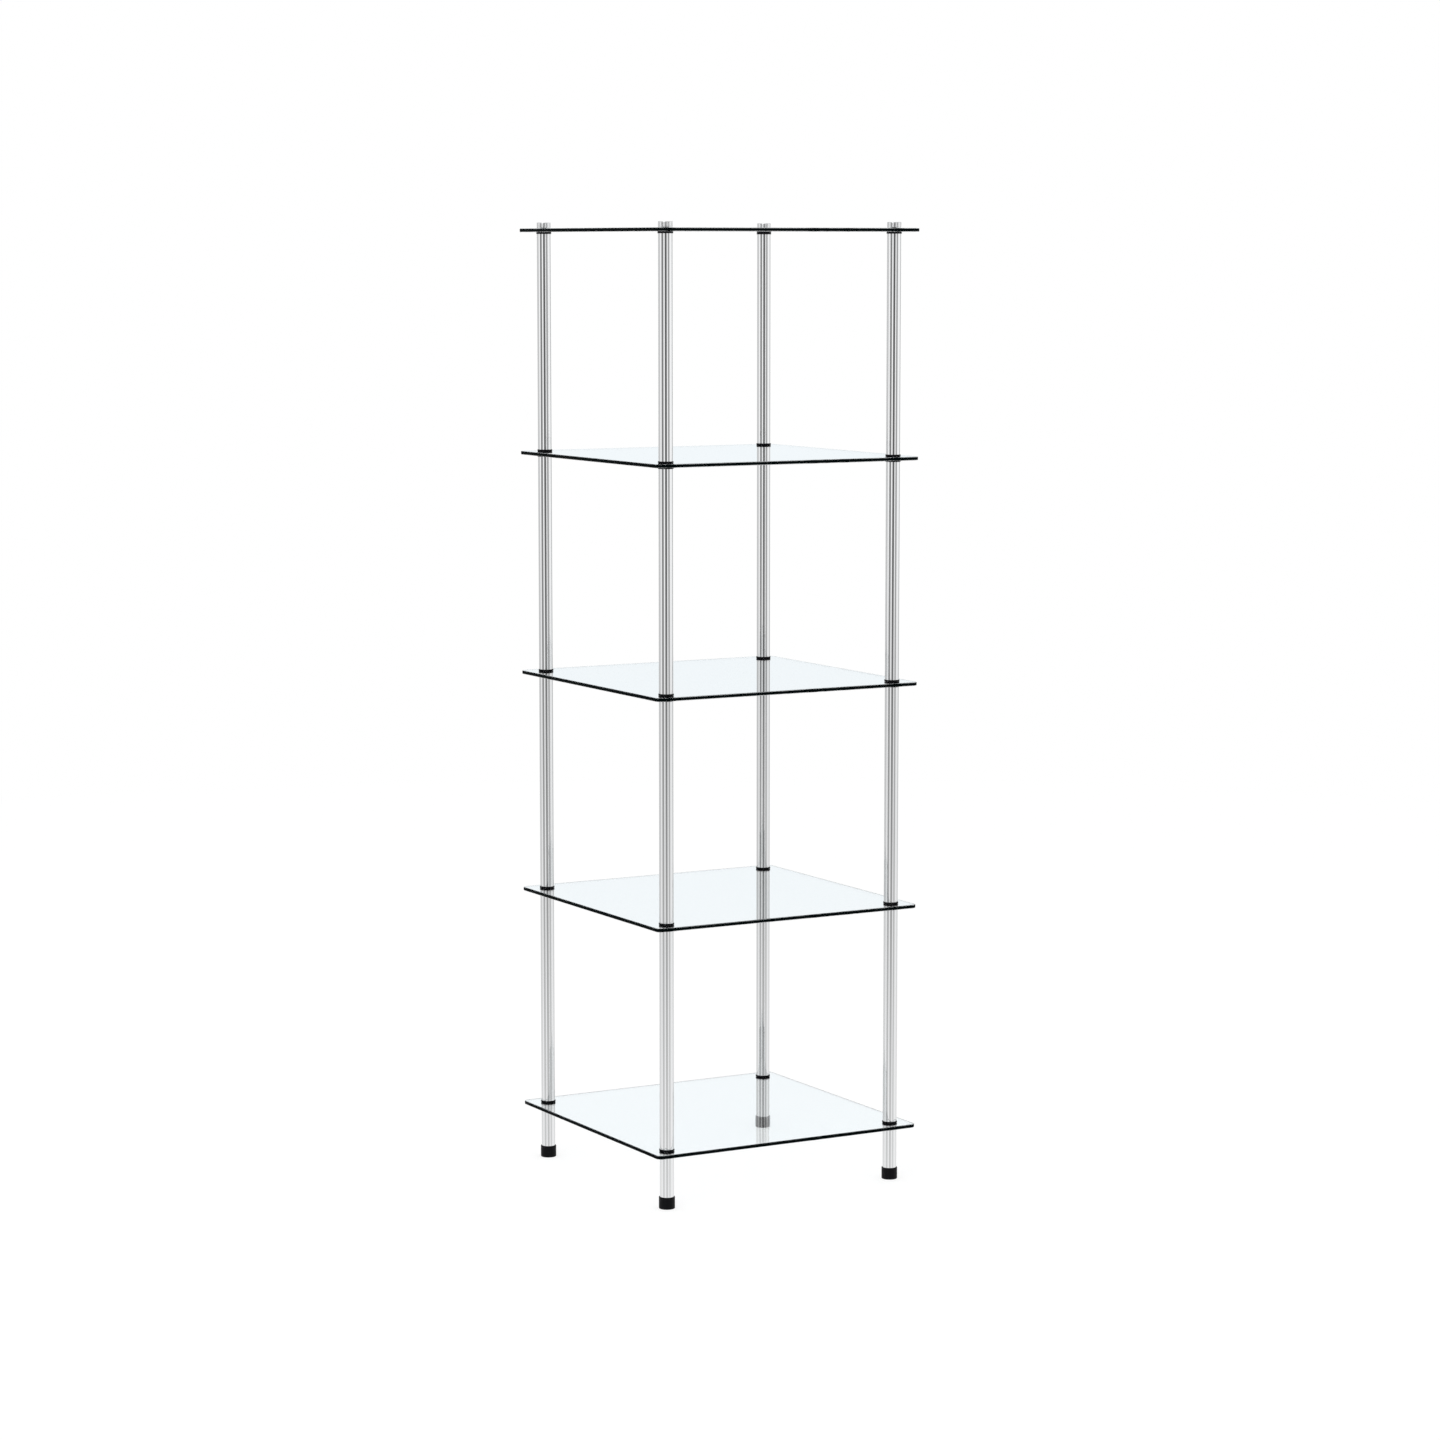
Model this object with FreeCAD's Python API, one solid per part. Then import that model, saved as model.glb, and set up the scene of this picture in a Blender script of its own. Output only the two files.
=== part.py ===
"""Glass etagere: square glass shelves clamped between round steel tubes at their four corners.

Units are millimetres. +Z is up and +Y points to the back. The origin is on the floor, under the
middle of the shelves. Each shelf is held at every corner by a threaded stud, which runs through a
hole in the glass and screws into the tube below and into the tube or end cap above.
"""
import FreeCAD, Part
import os

# Shelves
SHELF_COUNT = 5
SHELF_WIDTH = 400.0
SHELF_DEPTH = 400.0
GLASS_THICKNESS = 5.0
SHELF_CORNER_RADIUS = 8.0
GLASS_EDGE_ROUNDING = 1.2
GLASS_HOLE_DIAMETER = 12.0
POST_INSET = 26.5

# Steel tubes
TUBE_DIAMETER = 19.0
TUBE_WALL = 0.8
POST_LENGTH = 293.5
LEG_LENGTH = 67.0

# Threaded inserts in the tube ends, and the studs that join them
INSERT_LENGTH = 18.0
INSERT_CHAMFER = 0.6
INSERT_FIT = 0.05
STUD_DIAMETER = 8.0
STUD_CHAMFER = 0.8
STUD_ENGAGEMENT = 15.0
THREAD_FIT = 0.1

# Black washers, with a collar that lines the hole in the glass
WASHER_DIAMETER = 20.5
WASHER_THICKNESS = 2.5
WASHER_ROUNDING = 0.6
WASHER_BORE_FIT = 0.2
COLLAR_FIT = 0.2
COLLAR_END_GAP = 0.25

# End caps above the top shelf, on clear gaskets
CAP_DIAMETER = 19.0
CAP_HEIGHT = 7.0
CAP_ROUNDING = 0.8
CAP_CROWN = 2.0
CAP_STUD_END_GAP = 0.5
GASKET_DIAMETER = 18.4
GASKET_THICKNESS = 1.0

# Push-on feet
FOOT_DIAMETER = 21.5
FOOT_HEIGHT = 16.0
FOOT_FLOOR = 3.5
FOOT_FIT = 0.1
FOOT_RIM_ROUNDING = 0.7
FOOT_BASE_ROUNDING = 1.0

# Places worked out from the sizes above
TUBE_BORE = TUBE_DIAMETER - 2 * TUBE_WALL
THREADED_BORE = STUD_DIAMETER + 2 * THREAD_FIT
WASHER_BORE = STUD_DIAMETER + 2 * WASHER_BORE_FIT
LOWEST_GLASS_BOTTOM = FOOT_FLOOR + LEG_LENGTH + WASHER_THICKNESS
SHELF_PITCH = GLASS_THICKNESS + 2 * WASHER_THICKNESS + POST_LENGTH
POST_X = SHELF_WIDTH / 2 - POST_INSET
POST_Y = SHELF_DEPTH / 2 - POST_INSET
CORNERS = {
    "front_left": (-POST_X, -POST_Y),
    "front_right": (POST_X, -POST_Y),
    "back_left": (-POST_X, POST_Y),
    "back_right": (POST_X, POST_Y),
}
UP = FreeCAD.Vector(0, 0, 1)


def disc(diameter, bottom, height):
    """A cylinder on the Z axis, from the height `bottom` upwards."""
    return Part.makeCylinder(diameter / 2, height, FreeCAD.Vector(0, 0, bottom), UP)


def circles_at(shape, diameter, height):
    """The round edges of a shape that have this diameter and lie at this height."""
    found = []
    for edge in shape.Edges:
        if not isinstance(edge.Curve, Part.Circle):
            continue
        right_size = abs(edge.Curve.Radius - diameter / 2) < 1e-6
        right_height = abs(edge.Curve.Center.z - height) < 1e-6
        if right_size and right_height:
            found.append(edge)
    return found


def at_corner(shape, corner):
    """A copy of a shape made on the Z axis, moved to the post axis of one corner."""
    x, y = CORNERS[corner]
    return shape.translated(FreeCAD.Vector(x, y, 0))


def at_every_corner(shape):
    """The same piece at all four corners, as a group of separate solids."""
    return Part.makeCompound([at_corner(shape, corner) for corner in CORNERS])


def glass_bottom(shelf):
    """Height of the underside of a shelf, where shelf 1 is the lowest."""
    return LOWEST_GLASS_BOTTOM + (shelf - 1) * SHELF_PITCH


def glass_top(shelf):
    return glass_bottom(shelf) + GLASS_THICKNESS


def post_bottom(tier):
    """Height of the lower end of the post tubes that stand on a shelf."""
    return glass_top(tier) + WASHER_THICKNESS


def tube_top_below(shelf):
    """Height of the upper end of the tubes that carry a shelf."""
    return glass_bottom(shelf) - WASHER_THICKNESS


def glass_shelf(shelf):
    """A glass plate with rounded corners, pencil-rounded edges and a hole at each post."""
    origin = FreeCAD.Vector(-SHELF_WIDTH / 2, -SHELF_DEPTH / 2, glass_bottom(shelf))
    plate = Part.makeBox(SHELF_WIDTH, SHELF_DEPTH, GLASS_THICKNESS, origin)
    uprights = [edge for edge in plate.Edges if abs(edge.tangentAt(edge.FirstParameter).z) > 0.5]
    plate = plate.makeFillet(SHELF_CORNER_RADIUS, uprights)
    rims = [edge for edge in plate.Edges if edge.BoundBox.ZLength < 1e-6]
    plate = plate.makeFillet(GLASS_EDGE_ROUNDING, rims)
    hole = disc(GLASS_HOLE_DIAMETER, glass_bottom(shelf), GLASS_THICKNESS)
    for corner in CORNERS:
        plate = plate.cut(at_corner(hole, corner))
    return plate


def tube(bottom, length):
    """A plain steel tube, open at both ends."""
    return disc(TUBE_DIAMETER, bottom, length).cut(disc(TUBE_BORE, bottom, length))


def insert(bottom):
    """A steel plug that fills a tube end, with a threaded bore for a stud."""
    diameter = TUBE_BORE - 2 * INSERT_FIT
    top = bottom + INSERT_LENGTH
    plug = disc(diameter, bottom, INSERT_LENGTH)
    ends = circles_at(plug, diameter, bottom) + circles_at(plug, diameter, top)
    plug = plug.makeChamfer(INSERT_CHAMFER, ends)
    return plug.cut(disc(THREADED_BORE, bottom, INSERT_LENGTH))


def stud(bottom, top):
    """A threaded stud, at its nominal diameter, with chamfered ends."""
    rod = disc(STUD_DIAMETER, bottom, top - bottom)
    ends = circles_at(rod, STUD_DIAMETER, bottom) + circles_at(rod, STUD_DIAMETER, top)
    return rod.makeChamfer(STUD_CHAMFER, ends)


def shelf_stud(shelf):
    """The stud through one corner of a shelf; the top shelf's is shorter, for its end cap."""
    bottom = tube_top_below(shelf) - STUD_ENGAGEMENT
    if shelf < SHELF_COUNT:
        return stud(bottom, post_bottom(shelf) + STUD_ENGAGEMENT)
    return stud(bottom, cap_bottom() + CAP_HEIGHT - CAP_CROWN - CAP_STUD_END_GAP)


def washer(bottom):
    """The ring of a washer, with both outer edges rounded and no bore yet."""
    top = bottom + WASHER_THICKNESS
    ring = disc(WASHER_DIAMETER, bottom, WASHER_THICKNESS)
    rims = circles_at(ring, WASHER_DIAMETER, bottom) + circles_at(ring, WASHER_DIAMETER, top)
    return ring.makeFillet(WASHER_ROUNDING, rims)


def collared_washer(ring_bottom, collar_bottom):
    """A washer whose collar reaches halfway through the hole in the glass."""
    collar_diameter = GLASS_HOLE_DIAMETER - 2 * COLLAR_FIT
    collar_height = GLASS_THICKNESS / 2 - COLLAR_END_GAP
    body = washer(ring_bottom).fuse(disc(collar_diameter, collar_bottom, collar_height))
    lowest = min(ring_bottom, collar_bottom)
    bore = disc(WASHER_BORE, lowest, WASHER_THICKNESS + collar_height)
    return body.cut(bore).removeSplitter()


def lower_washer(shelf):
    return collared_washer(tube_top_below(shelf), glass_bottom(shelf))


def upper_washer(shelf):
    collar_height = GLASS_THICKNESS / 2 - COLLAR_END_GAP
    return collared_washer(glass_top(shelf), glass_top(shelf) - collar_height)


def cap_gasket():
    """A thin clear ring that keeps an end cap off the top glass."""
    bottom = glass_top(SHELF_COUNT)
    ring = disc(GASKET_DIAMETER, bottom, GASKET_THICKNESS)
    return ring.cut(disc(WASHER_BORE, bottom, GASKET_THICKNESS))


def cap_bottom():
    return glass_top(SHELF_COUNT) + GASKET_THICKNESS


def end_cap():
    """A turned steel cap with a rounded top edge and a blind threaded bore from below."""
    bottom = cap_bottom()
    body = disc(CAP_DIAMETER, bottom, CAP_HEIGHT)
    body = body.makeFillet(CAP_ROUNDING, circles_at(body, CAP_DIAMETER, bottom + CAP_HEIGHT))
    return body.cut(disc(THREADED_BORE, bottom, CAP_HEIGHT - CAP_CROWN))


def foot():
    """A cup that is pushed over the end of a leg tube, which stands on the cup's floor."""
    cup = disc(FOOT_DIAMETER, 0, FOOT_HEIGHT)
    cup = cup.makeFillet(FOOT_BASE_ROUNDING, circles_at(cup, FOOT_DIAMETER, 0))
    cup = cup.makeFillet(FOOT_RIM_ROUNDING, circles_at(cup, FOOT_DIAMETER, FOOT_HEIGHT))
    return cup.cut(disc(TUBE_DIAMETER + 2 * FOOT_FIT, FOOT_FLOOR, FOOT_HEIGHT - FOOT_FLOOR))


def shelf_pieces():
    """Every shelf with its washers, studs and the inserts that the studs screw into."""
    pieces = {}
    for shelf in range(1, SHELF_COUNT + 1):
        pieces[f"glass_shelf_{shelf}"] = glass_shelf(shelf)
        pieces[f"washers_below_shelf_{shelf}"] = at_every_corner(lower_washer(shelf))
        pieces[f"studs_shelf_{shelf}"] = at_every_corner(shelf_stud(shelf))
        top_end = tube_top_below(shelf) - INSERT_LENGTH
        pieces[f"inserts_below_shelf_{shelf}"] = at_every_corner(insert(top_end))
        if shelf < SHELF_COUNT:
            pieces[f"washers_above_shelf_{shelf}"] = at_every_corner(upper_washer(shelf))
            pieces[f"inserts_above_shelf_{shelf}"] = at_every_corner(insert(post_bottom(shelf)))
    pieces["cap_gaskets"] = at_every_corner(cap_gasket())
    return pieces


def corner_pieces():
    """The column at each corner: foot, leg tube, one post tube per tier, and end cap."""
    pieces = {}
    for corner in CORNERS:
        pieces[f"foot_{corner}"] = at_corner(foot(), corner)
        pieces[f"leg_tube_{corner}"] = at_corner(tube(FOOT_FLOOR, LEG_LENGTH), corner)
        for tier in range(1, SHELF_COUNT):
            post = tube(post_bottom(tier), POST_LENGTH)
            pieces[f"post_tube_{corner}_{tier}"] = at_corner(post, corner)
        pieces[f"end_cap_{corner}"] = at_corner(end_cap(), corner)
    return pieces


os.makedirs("parts", exist_ok=True)
for node, shape in {**shelf_pieces(), **corner_pieces()}.items():
    shape.exportStep(f"parts/{node}.step")
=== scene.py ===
"""Glass etagere: materials, glass plates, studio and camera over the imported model.

Units are metres. +Z is up, +Y points to the back, and the floor is at z = 0.
"""
import math
import bmesh
import bpy
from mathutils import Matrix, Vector


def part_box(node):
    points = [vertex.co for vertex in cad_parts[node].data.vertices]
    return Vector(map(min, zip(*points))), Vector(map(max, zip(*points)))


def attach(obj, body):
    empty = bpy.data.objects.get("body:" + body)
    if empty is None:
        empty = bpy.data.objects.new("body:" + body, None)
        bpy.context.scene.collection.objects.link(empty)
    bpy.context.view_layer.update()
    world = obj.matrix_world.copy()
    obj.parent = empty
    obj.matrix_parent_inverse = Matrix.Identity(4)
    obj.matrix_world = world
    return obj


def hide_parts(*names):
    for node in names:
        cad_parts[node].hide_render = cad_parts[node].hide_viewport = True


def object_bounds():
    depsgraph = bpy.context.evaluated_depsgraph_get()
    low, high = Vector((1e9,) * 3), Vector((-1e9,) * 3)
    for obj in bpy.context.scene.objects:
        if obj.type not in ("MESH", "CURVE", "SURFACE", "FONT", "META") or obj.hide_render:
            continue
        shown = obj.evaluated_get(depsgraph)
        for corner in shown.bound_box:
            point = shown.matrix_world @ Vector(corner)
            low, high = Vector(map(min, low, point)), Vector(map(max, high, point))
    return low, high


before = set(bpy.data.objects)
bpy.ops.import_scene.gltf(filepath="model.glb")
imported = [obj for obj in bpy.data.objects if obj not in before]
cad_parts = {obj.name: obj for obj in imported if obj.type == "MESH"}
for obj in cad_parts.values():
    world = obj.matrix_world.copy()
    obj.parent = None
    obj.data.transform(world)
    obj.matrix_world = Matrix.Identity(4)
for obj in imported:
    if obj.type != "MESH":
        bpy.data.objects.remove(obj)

CAD_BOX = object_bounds()
SHELF_COUNT = 5
CORNERS = ("front_left", "front_right", "back_left", "back_right")

# Glass plates: corners, rims and holes as in the CAD model, with a fine arris added to the holes
CORNER_RADIUS = 0.008
RIM_ROUNDING = 0.0012
HOLE_RADIUS = 0.006
HOLE_ARRIS = 0.0004

# Steps of the round stretches, and how many steps of each rim rounding are clear like the faces
CORNER_STEPS = 12
ROUNDING_STEPS = 6
CLEAR_ROUNDING_STEPS = 4
HOLE_STEPS = 48

# Order of a plate's materials
FACE, RIM, HOLE = range(3)

# Surface detail: noise scales per metre along X, Y and Z, and depths
DRAW_LINES = (900.0, 900.0, 3.0)
TINT_STREAKS = (14.0, 5.0, 5.0)
RIM_STREAKS = (30.0, 30.0, 900.0)
DRAW_LINE_DEPTH = 0.000002
RING_DEPTH = 0.000003
GRAIN_DEPTH = 0.00001
GRIT_DEPTH = 0.00004
THREAD_DEPTH = 0.00012

# Pitch of the thread, and radians of the turning rings per metre of radius
THREAD_PITCH = 0.00125
RING_RATE = 21000.0

# The part of the range from 0 to 1 that holds most of a noise
NOISE_SPREAD = (0.3, 0.7)

# Indices of refraction, low for the rim so that it mirrors little and its painted shade stays nearly black
GLASS_IOR = 1.5
RIM_IOR = 1.06
GASKET_IOR = 1.46

# Tint of the light that falls through a plate
PASSING_TINT = (0.98, 0.992, 0.996)

# Camera, fitted to the posts, shelf edges and feet in the photo, with angles in degrees and the lens in mm
CAMERA_AZIMUTH = -29.318
CAMERA_DISTANCE = 5.361
CAMERA_HEIGHT = 1.268
CAMERA_PITCH = 6.847
CAMERA_PAN = -0.046
CAMERA_LENS = 98.650
CAMERA_SENSOR = 36.0

# Dark upright flags that the metal mirrors: azimuth from the front and width in degrees, and darkness
FLAGS = (
    (-157.0, 70.0, 0.38),
    (-78.0, 33.0, 0.77),
    (-24.0, 32.0, 0.88),
    (22.5, 28.0, 0.64),
    (103.0, 30.0, 0.49),
)
FLAG_SOFTNESS = 10.0

# Elevations in degrees between which the flags fade in and, higher up, fade out
FLAG_FOOT = (-20.5, -2.5)
FLAG_HEAD = (1.0, 50.0)

# Share of the flags that the floor close by mirrors again, and the elevations where that ends
FLOOR_FLAG = 0.90
FLOOR_FLAG_FADE = (-19.0, -12.8)

# Brightness of what is mirrored, each with the elevations of its fade: the ground far off against the
# walls, the ground close by against far off, the upper walls, and the tint of the ceiling in clean glass
FAR_GROUND = 0.87
FAR_GROUND_FADE = (-8.0, -2.5)
NEAR_GROUND = 1.09
NEAR_GROUND_FADE = (-15.4, -8.5)
UPPER_WALL = 0.72
UPPER_WALL_FADE = (1.0, 9.0)
CEILING_TINT = (0.88, 0.932, 0.965)
CEILING_FADE = (0.0, 2.0)
WHITE = (1.0, 1.0, 1.0)

# Floor and lights
FLOOR_RADIUS = 4.0
FLOOR_SEGMENTS = 128
FLOOR_DROP = 0.0002
FLOOR_GLOW = 0.72
SKY_LIGHT = 0.80
LAMP_POWER = 26.0
LAMP_SIZE = 2.4
LAMP_PLACE = (-2.6, -2.0, 3.2)
LAMP_AIM = (0.0, 0.0, 0.6)
MOST_BOUNCES = 32


class Graph:
    """The node tree of a material or of the world, with short calls to add and link nodes."""

    def __init__(self, tree):
        self.tree = tree
        tree.nodes.clear()

    def add(self, kind, **settings):
        node = self.tree.nodes.new("ShaderNode" + kind)
        for name, value in settings.items():
            setattr(node, name, value)
        return node

    def feed(self, socket, value):
        """Links an output to an input, or sets the input to a plain value."""
        if isinstance(value, bpy.types.NodeSocket):
            self.tree.links.new(value, socket)
        else:
            socket.default_value = value

    def fill(self, node, *values):
        """Feeds the inputs of a node in their order, and gives its first output."""
        for socket, value in zip(node.inputs, values):
            self.feed(socket, value)
        return node.outputs[0]

    def math(self, operation, *values):
        return self.fill(self.add("Math", operation=operation), *values)

    def remap(self, value, span, onto):
        """Maps a span of a value onto another span, smoothly and clamped."""
        return self.fill(self.add("MapRange", interpolation_type="SMOOTHSTEP"), value, *span, *onto)

    def blend(self, factor, first, second):
        """A colour between two colours."""
        node = self.add("Mix", data_type="RGBA")
        self.feed(node.inputs["Factor"], factor)
        self.feed(node.inputs["A"], (*first, 1.0))
        self.feed(node.inputs["B"], (*second, 1.0))
        return node.outputs["Result"]

    def noise(self, place, scale, detail):
        node = self.add("TexNoise")
        self.feed(node.inputs["Vector"], place)
        self.feed(node.inputs["Scale"], scale)
        self.feed(node.inputs["Detail"], detail)
        return node.outputs["Fac"]

    def stretched_noise(self, place, scales, detail):
        """Noise with a scale of its own along X, Y and Z."""
        node = self.add("Mapping", vector_type="POINT")
        self.feed(node.inputs["Vector"], place)
        self.feed(node.inputs["Scale"], scales)
        return self.noise(node.outputs["Vector"], scale=1.0, detail=detail)

    def bump(self, height, depth):
        node = self.add("Bump")
        self.feed(node.inputs["Height"], height)
        self.feed(node.inputs["Distance"], depth)
        self.feed(node.inputs["Strength"], 1.0)
        return node.outputs["Normal"]

    def principled(self, **inputs):
        node = self.add("BsdfPrincipled")
        for name, value in inputs.items():
            self.feed(node.inputs[name.replace("_", " ")], value)
        return node.outputs["BSDF"]

    def mix_shader(self, factor, first, second):
        return self.fill(self.add("MixShader"), factor, first, second)

    def end(self, surface):
        output = self.add("OutputMaterial")
        self.feed(output.inputs["Surface"], surface)


def new_material(name):
    material = bpy.data.materials.new(name)
    material.use_nodes = True
    return material, Graph(material.node_tree)


def new_object(name, mesh, materials):
    """An object of the scene made from a finished bmesh, which is freed."""
    data = bpy.data.meshes.new(name)
    mesh.to_mesh(data)
    mesh.free()
    for material in materials:
        data.materials.append(material)
    piece = bpy.data.objects.new(name, data)
    bpy.context.scene.collection.objects.link(piece)
    return piece


def place_on_object(graph):
    """A point's place in the frame, in metres."""
    return graph.add("TexCoord").outputs["Object"]


def post_axis(corner):
    low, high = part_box(f"end_cap_{corner}")
    return (low + high) / 2


def place_from_post(graph):
    """A point's place in metres, measured from the axis of the nearest post, as X, Y and Z outputs."""
    axis = post_axis("back_right")
    apart = graph.add("SeparateXYZ")
    graph.feed(apart.inputs[0], place_on_object(graph))
    x, y = (
        graph.math("SUBTRACT", graph.math("ABSOLUTE", apart.outputs[name]), middle)
        for name, middle in (("X", axis.x), ("Y", axis.y))
    )
    return x, y, apart.outputs["Z"]


def polished_steel():
    """Polished stainless tube, with fine lengthwise draw lines and faint handling marks."""
    material, graph = new_material("polished_steel")
    place = place_on_object(graph)
    lines = graph.stretched_noise(place, DRAW_LINES, detail=2.0)
    marks = graph.noise(place, scale=22.0, detail=5.0)
    line_roughness = graph.remap(lines, NOISE_SPREAD, (0.04, 0.09))
    mark_roughness = graph.remap(marks, (0.5, 0.75), (0.0, 0.05))
    graph.end(graph.principled(
        Base_Color=graph.blend(lines, (0.84, 0.85, 0.86), (0.94, 0.945, 0.95)),
        Metallic=1.0,
        Roughness=graph.math("ADD", line_roughness, mark_roughness),
        Normal=graph.bump(lines, DRAW_LINE_DEPTH),
    ))
    return material


def turned_steel():
    """Satin end cap, with faint rings left by turning."""
    material, graph = new_material("turned_steel")
    x, y, _ = place_from_post(graph)
    across = graph.math("ADD", graph.math("MULTIPLY", x, x), graph.math("MULTIPLY", y, y))
    radius = graph.math("SQRT", across)
    rings = graph.math("SINE", graph.math("MULTIPLY", radius, RING_RATE))
    marks = graph.noise(place_on_object(graph), scale=60.0, detail=5.0)
    graph.end(graph.principled(
        Base_Color=graph.blend(marks, (0.88, 0.89, 0.90), (0.94, 0.945, 0.95)),
        Metallic=1.0,
        Roughness=graph.remap(marks, (0.35, 0.7), (0.24, 0.32)),
        Normal=graph.bump(rings, RING_DEPTH),
    ))
    return material


def zinc_steel():
    """Zinc-plated studs and inserts, with thread lines."""
    material, graph = new_material("zinc_steel")
    x, y, z = place_from_post(graph)
    turns = graph.math("MULTIPLY", z, 2 * math.pi / THREAD_PITCH)
    thread = graph.math("SINE", graph.math("ADD", turns, graph.math("ARCTAN2", y, x)))
    cloud = graph.noise(place_on_object(graph), scale=260.0, detail=4.0)
    graph.end(graph.principled(
        Base_Color=graph.blend(cloud, (0.55, 0.56, 0.58), (0.68, 0.68, 0.66)),
        Metallic=1.0,
        Roughness=graph.remap(cloud, NOISE_SPREAD, (0.28, 0.45)),
        Normal=graph.bump(thread, THREAD_DEPTH),
    ))
    return material


def moulded_black(name, dark, light, roughness):
    """Black moulded plastic or rubber, with a fine grain and slightly uneven sheen."""
    material, graph = new_material(name)
    place = place_on_object(graph)
    grain = graph.noise(place, scale=3200.0, detail=2.0)
    patches = graph.noise(place, scale=120.0, detail=4.0)
    graph.end(graph.principled(
        Base_Color=graph.blend(patches, dark, light),
        Roughness=graph.remap(patches, NOISE_SPREAD, roughness),
        Specular_IOR_Level=0.1,
        Normal=graph.bump(grain, GRAIN_DEPTH),
    ))
    return material


def washer_black():
    return moulded_black("washer_black", (0.003, 0.003, 0.004), (0.007, 0.007, 0.009), (0.30, 0.42))


def foot_black():
    return moulded_black("foot_black", (0.004, 0.004, 0.005), (0.009, 0.009, 0.011), (0.34, 0.46))


def clear_gasket():
    """Soft clear plastic of the gaskets."""
    material, graph = new_material("clear_gasket")
    cloud = graph.noise(place_on_object(graph), scale=400.0, detail=3.0)
    graph.end(graph.principled(
        Base_Color=graph.blend(cloud, (0.90, 0.93, 0.93), (0.96, 0.97, 0.97)),
        Roughness=graph.remap(cloud, NOISE_SPREAD, (0.08, 0.22)),
        IOR=GASKET_IOR,
        Transmission_Weight=1.0,
    ))
    return material


def light_passes(graph, glass):
    """Glass that lets light fall straight through it, so that what stands below isn't shaded."""
    path = graph.add("LightPath")
    straight = graph.math("MAXIMUM", path.outputs["Is Shadow Ray"], path.outputs["Is Diffuse Ray"])
    clear = graph.add("BsdfTransparent")
    clear.inputs["Color"].default_value = (*PASSING_TINT, 1.0)
    return graph.mix_shader(straight, glass, clear.outputs[0])


def face_glass(graph):
    """Clean clear glass with a faint, slightly uneven blue tint."""
    streaks = graph.stretched_noise(place_on_object(graph), TINT_STREAKS, detail=5.0)
    return graph.principled(
        Base_Color=graph.blend(streaks, (0.948, 0.982, 0.994), (0.962, 0.988, 0.996)),
        Roughness=0.0,
        IOR=GLASS_IOR,
        Transmission_Weight=1.0,
    )


def shelf_glass():
    """The clear faces of a plate, and the parts of its rim roundings next to them."""
    material, graph = new_material("shelf_glass")
    graph.end(light_passes(graph, face_glass(graph)))
    return material


def glass_rim_painted_shade():
    """The polished rim, nearly black teal from outside, which is painted shade for the dark look that
    light gives a glass edge, and clear from inside the glass.
    """
    material, graph = new_material("glass_rim_painted_shade")
    streaks = graph.stretched_noise(place_on_object(graph), RIM_STREAKS, detail=3.0)
    # Painted shade: this nearly black colour stands in for the darkness that light gives a glass edge seen
    # from outside.
    dark = graph.principled(
        Base_Color=graph.blend(streaks, (0.0006, 0.0016, 0.002), (0.0018, 0.005, 0.0055)),
        Roughness=graph.remap(streaks, NOISE_SPREAD, (0.10, 0.22)),
        IOR=RIM_IOR,
    )
    inside = graph.add("NewGeometry").outputs["Backfacing"]
    graph.end(light_passes(graph, graph.mix_shader(inside, dark, face_glass(graph))))
    return material


def ground_glass():
    """The drilled hole walls, ground and a little frosted."""
    material, graph = new_material("ground_glass")
    grit = graph.noise(place_on_object(graph), scale=2600.0, detail=3.0)
    glass = graph.principled(
        Base_Color=(0.86, 0.93, 0.94, 1.0),
        Roughness=graph.remap(grit, NOISE_SPREAD, (0.35, 0.6)),
        IOR=GLASS_IOR,
        Transmission_Weight=1.0,
        Normal=graph.bump(grit, GRIT_DEPTH),
    )
    graph.end(light_passes(graph, glass))
    return material


def rounded_outline(half_x, half_y, radius):
    """Points round a rectangle with rounded corners, anticlockwise."""
    points = []
    for quarter, (sign_x, sign_y) in enumerate(((1, 1), (-1, 1), (-1, -1), (1, -1))):
        middle_x = sign_x * (half_x - radius)
        middle_y = sign_y * (half_y - radius)
        for step in range(CORNER_STEPS + 1):
            angle = math.pi / 2 * (quarter + step / CORNER_STEPS)
            points.append((middle_x + radius * math.cos(angle), middle_y + radius * math.sin(angle)))
    return points


def add_loop(mesh, points, height):
    return [mesh.verts.new((x, y, height)) for x, y in points]


def join_loops(mesh, lower, upper, material_index):
    """Faces between two loops of points that run the same way round."""
    count = len(lower)
    for start in range(count):
        after = (start + 1) % count
        face = mesh.faces.new((lower[start], lower[after], upper[after], upper[start]))
        face.material_index = material_index
        face.smooth = True


def rim_profile(low, high):
    """Inset and height of each loop of the rim, from the underside to the top."""
    profile = []
    for step in range(ROUNDING_STEPS + 1):
        angle = math.pi / 2 * step / ROUNDING_STEPS
        inset = RIM_ROUNDING * (1 - math.sin(angle))
        profile.append((inset, low + RIM_ROUNDING * (1 - math.cos(angle))))
    for inset, height in reversed(profile[:]):
        profile.append((inset, low + high - height))
    return profile


def rim_loops(mesh, low, high):
    """The rim of a plate: its loops from the underside to the top, with painted dark shade except near
    both faces.
    """
    loops = []
    for inset, height in rim_profile(low.z, high.z):
        outline = rounded_outline(high.x - inset, high.y - inset, CORNER_RADIUS - inset)
        loops.append(add_loop(mesh, outline, height))
    last = len(loops) - 1
    for step in range(last):
        clear = step < CLEAR_ROUNDING_STEPS or step >= last - CLEAR_ROUNDING_STEPS
        join_loops(mesh, loops[step], loops[step + 1], FACE if clear else RIM)
    return loops


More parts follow.
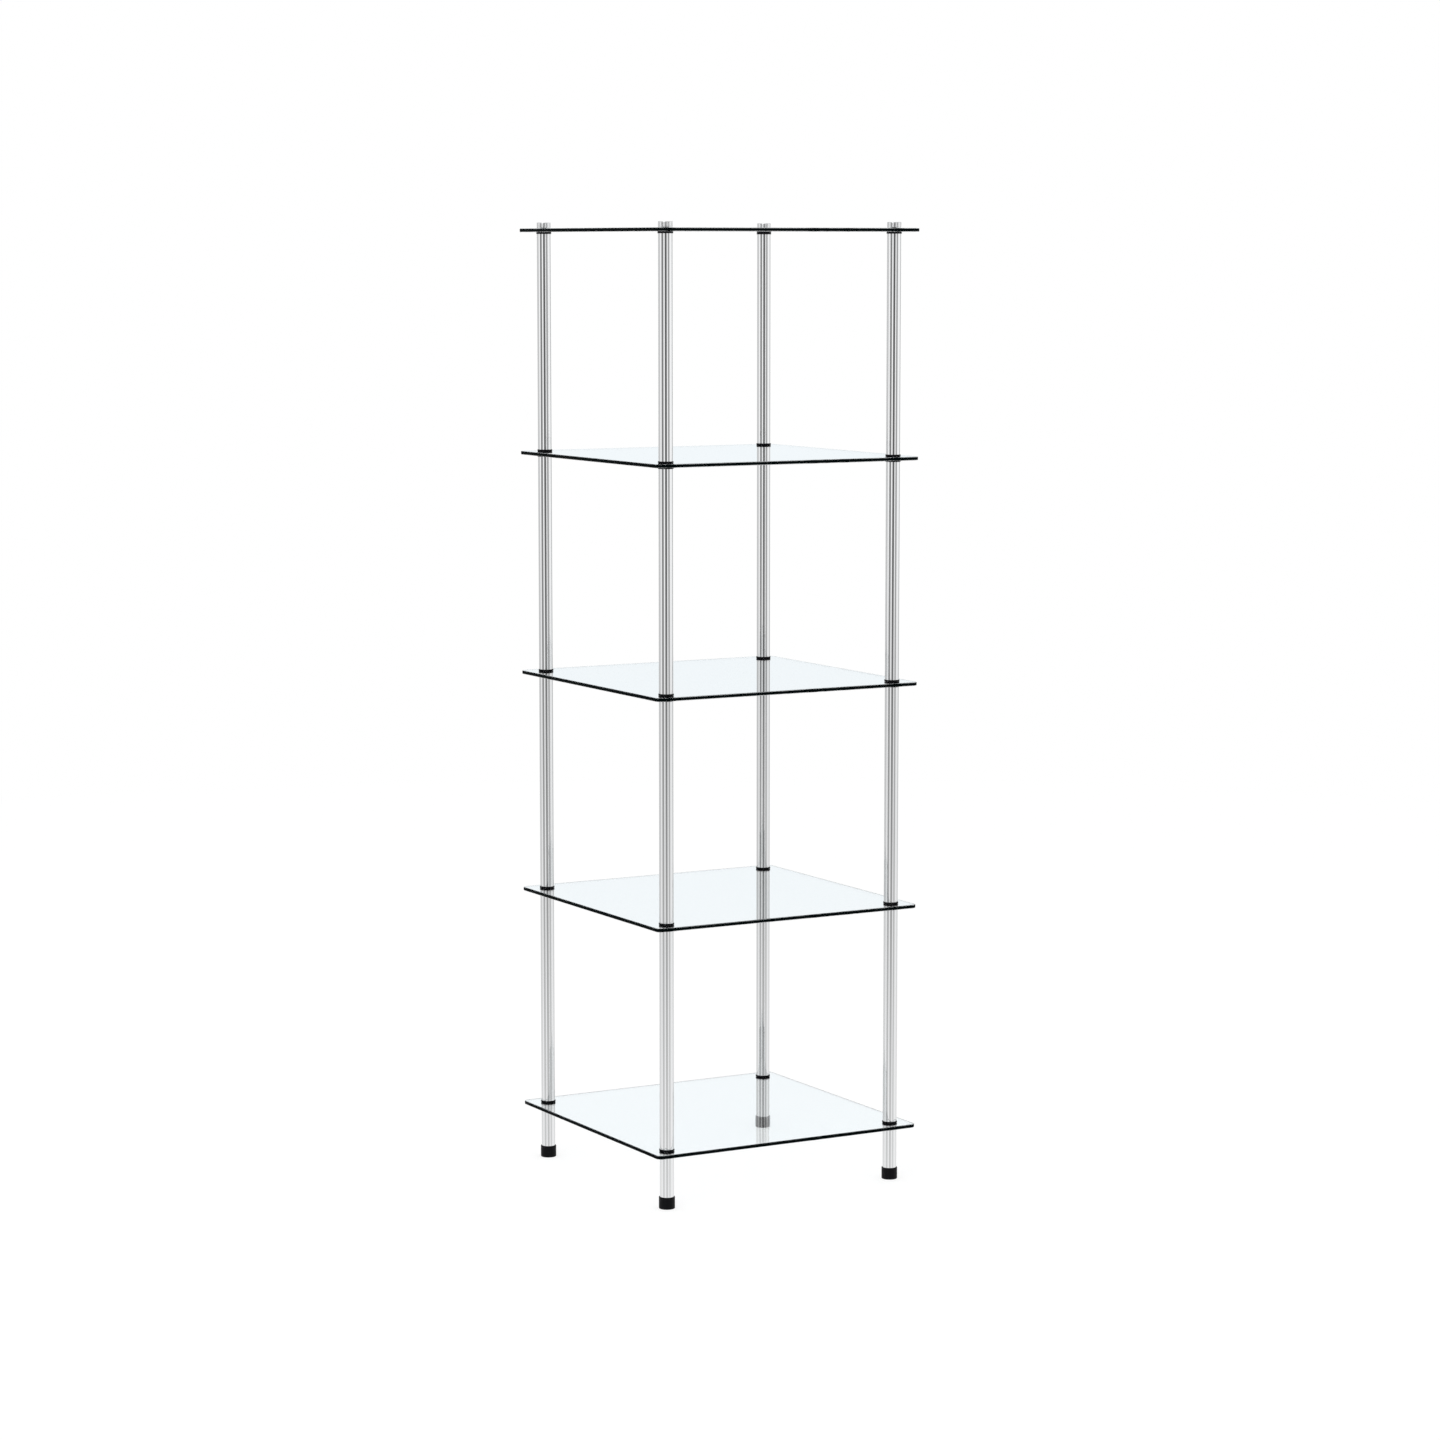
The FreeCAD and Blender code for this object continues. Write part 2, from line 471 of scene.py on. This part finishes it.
def hole_loops(mesh, middle, low, high):
    """One drilled hole: its loops from the underside to the top, with a small arris at both ends."""
    loops = []
    for radius, height in (
        (HOLE_RADIUS + HOLE_ARRIS, low.z),
        (HOLE_RADIUS, low.z + HOLE_ARRIS),
        (HOLE_RADIUS, high.z - HOLE_ARRIS),
        (HOLE_RADIUS + HOLE_ARRIS, high.z),
    ):
        points = []
        for step in range(HOLE_STEPS):
            angle = -2 * math.pi * step / HOLE_STEPS
            points.append((middle.x + radius * math.cos(angle), middle.y + radius * math.sin(angle)))
        loops.append(add_loop(mesh, points, height))
    for lower, upper in zip(loops, loops[1:]):
        join_loops(mesh, lower, upper, HOLE)
    return loops


def fill_flat(mesh, loops):
    """A flat glass face between an outline and the holes in it."""
    edges = []
    for loop in loops:
        for start, vert in enumerate(loop):
            after = loop[(start + 1) % len(loop)]
            edges.append(mesh.edges.get((vert, after)))
    made = bmesh.ops.triangle_fill(mesh, use_beauty=True, edges=edges)
    for item in made["geom"]:
        if isinstance(item, bmesh.types.BMFace):
            item.material_index = FACE
            item.smooth = False


def glass_plate(shelf, materials):
    """A shelf as one closed glass body, with its own materials for faces, rim and holes."""
    low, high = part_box(f"glass_shelf_{shelf}")
    mesh = bmesh.new()
    walls = [rim_loops(mesh, low, high)]
    for corner in CORNERS:
        walls.append(hole_loops(mesh, post_axis(corner), low, high))
    fill_flat(mesh, [wall[0] for wall in walls])
    fill_flat(mesh, [wall[-1] for wall in walls])
    bmesh.ops.recalc_face_normals(mesh, faces=mesh.faces)
    plate = new_object(f"glass_plate_{shelf}", mesh, materials)
    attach(plate, "root")
    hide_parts(f"glass_shelf_{shelf}")


def glass_plates():
    materials = (shelf_glass(), glass_rim_painted_shade(), ground_glass())
    for shelf in range(1, SHELF_COUNT + 1):
        glass_plate(shelf, materials)


def dress_cad_nodes():
    """A material for every CAD node that isn't a glass shelf, by how its name starts."""
    steel = polished_steel()
    zinc = zinc_steel()
    starts = {
        "post_tube": steel,
        "leg_tube": steel,
        "end_cap": turned_steel(),
        "studs": zinc,
        "inserts": zinc,
        "washers": washer_black(),
        "foot": foot_black(),
        "cap_gaskets": clear_gasket(),
    }
    for name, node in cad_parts.items():
        for start, material in starts.items():
            if name.startswith(start):
                node.data.materials.clear()
                node.data.materials.append(material)


def seen_and_mirrored(graph):
    """Whether a ray looks straight at the studio or through glass, and whether it was mirrored before."""
    path = graph.add("LightPath")
    seen = graph.math("MAXIMUM", path.outputs["Is Camera Ray"], path.outputs["Is Transmission Ray"])
    mirrored = graph.math("MINIMUM", path.outputs["Glossy Depth"], 1.0)
    return seen, mirrored


def mirrored_by_clean_glass(graph):
    """Whether a ray was mirrored once only and last met clean glass, and if so only its outside."""
    path = graph.add("LightPath")
    once = graph.math("COMPARE", path.outputs["Glossy Depth"], 1.0, 0.5)
    clean = graph.math("MULTIPLY", once, path.outputs["Is Singular Ray"])
    outside = graph.math("SUBTRACT", clean, path.outputs["Is Transmission Ray"])
    return clean, graph.math("MAXIMUM", outside, 0.0)


def floor_material():
    """A pale matt floor, white to the eye, that keeps part of the object's shadow and isn't mirrored."""
    material, graph = new_material("studio_floor")
    seen, mirrored = seen_and_mirrored(graph)
    speckle = graph.noise(place_on_object(graph), scale=30.0, detail=4.0)
    matt = graph.principled(
        Base_Color=graph.blend(speckle, (0.34, 0.34, 0.34), (0.35, 0.35, 0.35)),
        Roughness=1.0,
        Specular_IOR_Level=0.0,
    )
    glow = graph.add("Emission")
    graph.feed(glow.inputs["Strength"], graph.math("MULTIPLY", seen, FLOOR_GLOW))
    both = graph.fill(graph.add("AddShader"), matt, glow.outputs[0])
    graph.end(graph.mix_shader(mirrored, both, graph.add("BsdfTransparent").outputs[0]))
    return material


def floor():
    """A round floor just under the feet."""
    mesh = bmesh.new()
    bmesh.ops.create_circle(mesh, cap_ends=True, radius=FLOOR_RADIUS, segments=FLOOR_SEGMENTS)
    disc = new_object("studio_floor", mesh, (floor_material(),))
    disc.location.z = CAD_BOX[0].z - FLOOR_DROP


def degrees_remap(graph, angle, limits, onto):
    """Maps an angle between two limits, given in degrees, onto another span."""
    return graph.remap(angle, [math.radians(limit) for limit in limits], onto)


def studio_direction(graph):
    """The direction of a ray that leaves for the studio: azimuth from the front, and elevation."""
    apart = graph.add("SeparateXYZ")
    graph.feed(apart.inputs[0], graph.add("TexCoord").outputs["Generated"])
    x, y, z = apart.outputs
    azimuth = graph.math("ARCTAN2", x, graph.math("MULTIPLY", y, -1.0))
    return azimuth, graph.math("ARCSINE", z)


def flag_darkness(graph, azimuth, elevation):
    """The share of the light that the upright flags take away in each direction."""
    darkest = 0.0
    for middle, width, darkness in FLAGS:
        turn = graph.math("SUBTRACT", azimuth, math.radians(middle))
        turn = graph.math("ABSOLUTE", graph.math("WRAP", turn, math.pi, -math.pi))
        edge = ((width - FLAG_SOFTNESS) / 2, (width + FLAG_SOFTNESS) / 2)
        darkest = graph.math("MAXIMUM", darkest, degrees_remap(graph, turn, edge, (darkness, 0.0)))
    foot = degrees_remap(graph, elevation, FLAG_FOOT, (0.0, 1.0))
    on_floor = degrees_remap(graph, elevation, FLOOR_FLAG_FADE, (FLOOR_FLAG, 0.0))
    head = degrees_remap(graph, elevation, FLAG_HEAD, (1.0, 0.0))
    height = graph.math("MULTIPLY", graph.math("MAXIMUM", foot, on_floor), head)
    return graph.math("MULTIPLY", darkest, height)


def studio_brightness(graph, elevation, ceiling):
    """The brightness of ground and walls without flags, and full brightness for the ceiling."""
    far = degrees_remap(graph, elevation, FAR_GROUND_FADE, (FAR_GROUND, 1.0))
    near = degrees_remap(graph, elevation, NEAR_GROUND_FADE, (NEAR_GROUND, 1.0))
    wall = degrees_remap(graph, elevation, UPPER_WALL_FADE, (1.0, UPPER_WALL))
    return graph.math("MULTIPLY", graph.math("MULTIPLY", far, near), graph.math("MAXIMUM", wall, ceiling))


def mirrored_studio(graph):
    """What metal mirrors: a white studio with dark flags. Clean glass mirrors a tinted ceiling instead."""
    azimuth, elevation = studio_direction(graph)
    clean, outside = mirrored_by_clean_glass(graph)
    above = degrees_remap(graph, elevation, CEILING_FADE, (0.0, 1.0))
    ceiling = graph.math("MULTIPLY", above, clean)
    flagged = graph.math("SUBTRACT", 1.0, graph.math("MAXIMUM", ceiling, outside))
    flags = graph.math("MULTIPLY", flag_darkness(graph, azimuth, elevation), flagged)
    brightness = studio_brightness(graph, elevation, ceiling)
    background = graph.add("Background")
    graph.feed(background.inputs["Color"], graph.blend(ceiling, WHITE, CEILING_TINT))
    strength = graph.math("MULTIPLY", graph.math("SUBTRACT", 1.0, flags), brightness)
    graph.feed(background.inputs["Strength"], strength)
    return background.outputs[0]


def plain_studio(graph, seen):
    """Plain white where it is seen, and an even soft light elsewhere."""
    background = graph.add("Background")
    background.inputs["Color"].default_value = (*WHITE, 1.0)
    unseen = graph.math("SUBTRACT", 1.0, seen)
    graph.feed(background.inputs["Strength"], graph.math("MULTIPLY_ADD", unseen, SKY_LIGHT, seen))
    return background.outputs[0]


def studio_world():
    """White surroundings, with dark flags that only reflections show, and an even soft light."""
    world = bpy.data.worlds.new("studio")
    world.use_nodes = True
    graph = Graph(world.node_tree)
    seen, mirrored = seen_and_mirrored(graph)
    surroundings = graph.mix_shader(mirrored, plain_studio(graph, seen), mirrored_studio(graph))
    output = graph.add("OutputWorld")
    graph.feed(output.inputs["Surface"], surroundings)
    bpy.context.scene.world = world


def key_light():
    """One large soft lamp from the upper left of the camera."""
    data = bpy.data.lights.new("key_light", "AREA")
    data.energy = LAMP_POWER
    data.size = LAMP_SIZE
    lamp = bpy.data.objects.new("key_light", data)
    lamp.location = LAMP_PLACE
    aim = Vector(LAMP_AIM) - Vector(LAMP_PLACE)
    lamp.rotation_euler = aim.to_track_quat("-Z", "Y").to_euler()
    bpy.context.scene.collection.objects.link(lamp)


def light_paths():
    """Enough bounces for light that is mirrored many times inside a plate seen at a low angle."""
    settings = bpy.context.scene.cycles
    settings.max_bounces = MOST_BOUNCES
    settings.glossy_bounces = MOST_BOUNCES
    settings.transmission_bounces = MOST_BOUNCES
    settings.transparent_max_bounces = MOST_BOUNCES


def camera():
    """The photo's viewing angle, tilted down and not shifted."""
    data = bpy.data.cameras.new("camera")
    data.lens = CAMERA_LENS
    data.sensor_width = CAMERA_SENSOR
    view = bpy.data.objects.new("camera", data)
    azimuth = math.radians(CAMERA_AZIMUTH)
    view.location = (
        math.sin(azimuth) * CAMERA_DISTANCE,
        -math.cos(azimuth) * CAMERA_DISTANCE,
        CAMERA_HEIGHT,
    )
    heading = math.radians(CAMERA_AZIMUTH + CAMERA_PAN)
    view.rotation_euler = (math.radians(90.0 - CAMERA_PITCH), 0.0, heading)
    bpy.context.scene.collection.objects.link(view)
    bpy.context.scene.camera = view


dress_cad_nodes()
glass_plates()
floor()
studio_world()
key_light()
light_paths()
camera()
bpy.context.scene.view_settings.view_transform = "Standard"
